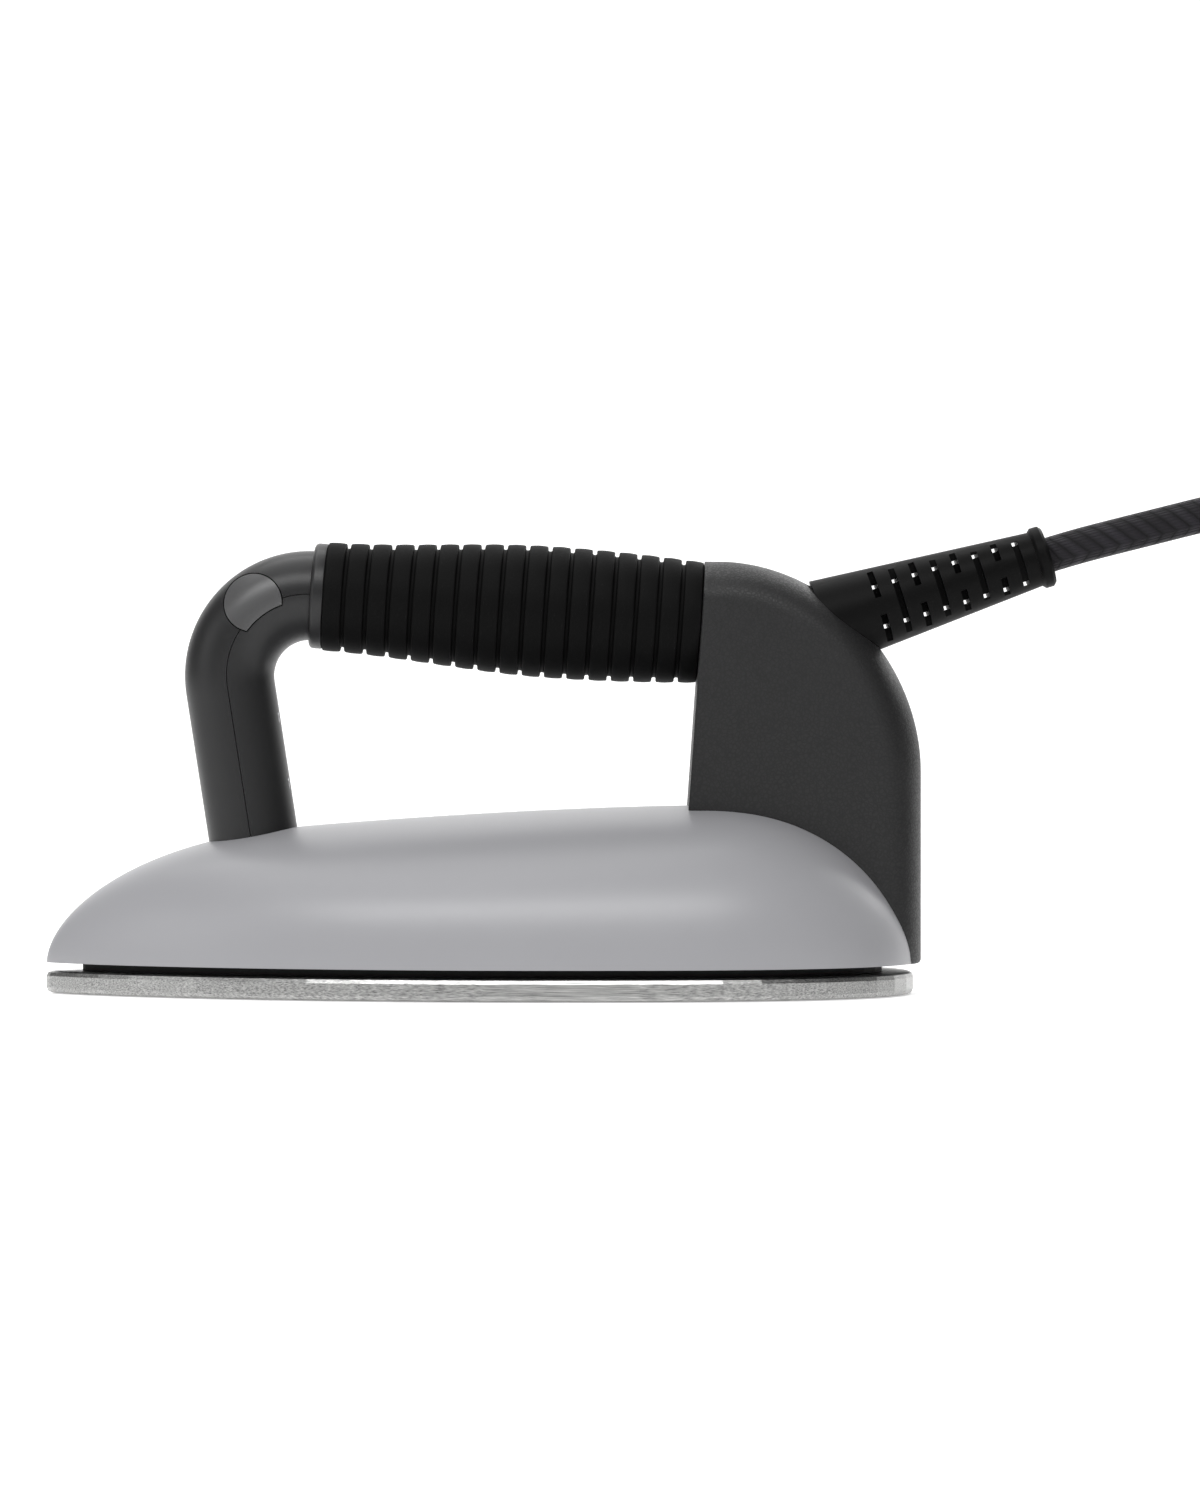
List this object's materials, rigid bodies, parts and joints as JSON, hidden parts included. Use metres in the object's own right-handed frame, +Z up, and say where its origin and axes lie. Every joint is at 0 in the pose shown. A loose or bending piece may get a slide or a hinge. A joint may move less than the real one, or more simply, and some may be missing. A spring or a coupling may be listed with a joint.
{
  "type": "clothes iron",
  "caption": "Hand iron of a steam station: boat-shaped soleplate, low grey cover, ribbed handle on a bent front tube and a rear housing, thumb buttons, and a braided steam and power line.",
  "frame": {"origin": "under the middle of the iron without its line, on the surface that the soleplate stands on", "axes": "+X from the nose to the heel and the line, +Y to the user's right, +Z up, away from the soleplate"},
  "size_m": [0.4843, 0.1329, 0.1365],
  "materials": {
    "sole_metal": "brushed, with a bright rounded edge",
    "cast_aluminium": "as cast",
    "element_sheath": "dull, dark from heat",
    "tinned_brass": "tinned",
    "silicone": "matt",
    "zinc_sheet": "zinc plated",
    "screw_steel": "zinc plated",
    "brown_ceramic": "unglazed",
    "white_ceramic": "unglazed",
    "black_band": "matt, heat proof",
    "grey_cover": "smooth satin",
    "tube_plastic": "satin, fine grain",
    "inner_plastic": "matt",
    "grip_rubber": "matt, soft touch",
    "button_plastic": "polished",
    "spring_steel": "bright wire",
    "board": "lacquered",
    "cable_black": "matt",
    "lead_red": "matt",
    "housing_plastic": "fine leather grain",
    "boot_rubber": "matt",
    "braid": "woven braid, black with grey-violet sheen",
    "tie_strap": "hook and loop",
    "connector_plastic": "satin"
  },
  "bodies": {
    "iron": {"soleplate": "sole_metal", "heater_casting": "cast_aluminium", "heating_element": "element_sheath", "element_terminals": "tinned_brass", "chamber_gasket": "silicone", "chamber_lid": "zinc_sheet", "lid_screws": "screw_steel", "steam_inlet": "tinned_brass", "steam_tube": "silicone", "thermostat": "brown_ceramic", "thermostat_screws": "screw_steel", "thermal_fuse": "tinned_brass", "insulating_skirt": "black_band", "body_cover": "grey_cover", "leg_bracket": "zinc_sheet", "bracket_screws": "screw_steel", "leg_anchor": "tinned_brass", "leg_screw": "screw_steel", "front_outer_shell": "tube_plastic", "front_inner_shell": "tube_plastic", "shell_screws": "screw_steel", "grip_collar": "tube_plastic", "grip_core": "inner_plastic", "grip_sleeve": "grip_rubber", "button_spring_left": "spring_steel", "button_spring_right": "spring_steel", "switch_left": "inner_plastic", "switch_right": "inner_plastic", "switch_board": "board", "button_cable": "cable_black", "rear_housing_left": "housing_plastic", "rear_housing_right": "housing_plastic", "housing_screws": "screw_steel", "terminal_block": "white_ceramic", "terminal_screws": "screw_steel", "power_leads": "lead_red", "line_clamp": "inner_plastic", "clamp_base": "inner_plastic", "clamp_screws": "screw_steel", "line_inner": "cable_black", "strain_relief": "boot_rubber", "line_lead": "braid", "line_coil": "braid", "line_tail": "braid", "coil_tie": "tie_strap", "connector_shell": "connector_plastic", "connector_ring": "connector_plastic", "connector_contacts": "tinned_brass", "steam_nipple": "tinned_brass", "nipple_seal": "silicone"},
    "left_button": {"button_left": "button_plastic", "switch_plunger_left": "inner_plastic"},
    "right_button": {"button_right": "button_plastic", "switch_plunger_right": "inner_plastic"}
  },
  "joints": [
    {"name": "left_button_press", "type": "slide", "parent": "iron", "child": "left_button", "axis": [0, 1, 0], "range_m": [0, 0.0012], "stiffness_N_per_m": 800, "deforming": ["button_spring_left"]},
    {"name": "right_button_press", "type": "slide", "parent": "iron", "child": "right_button", "axis": [0, -1, 0], "range_m": [0, 0.0012], "stiffness_N_per_m": 800, "deforming": ["button_spring_right"]}
  ]
}
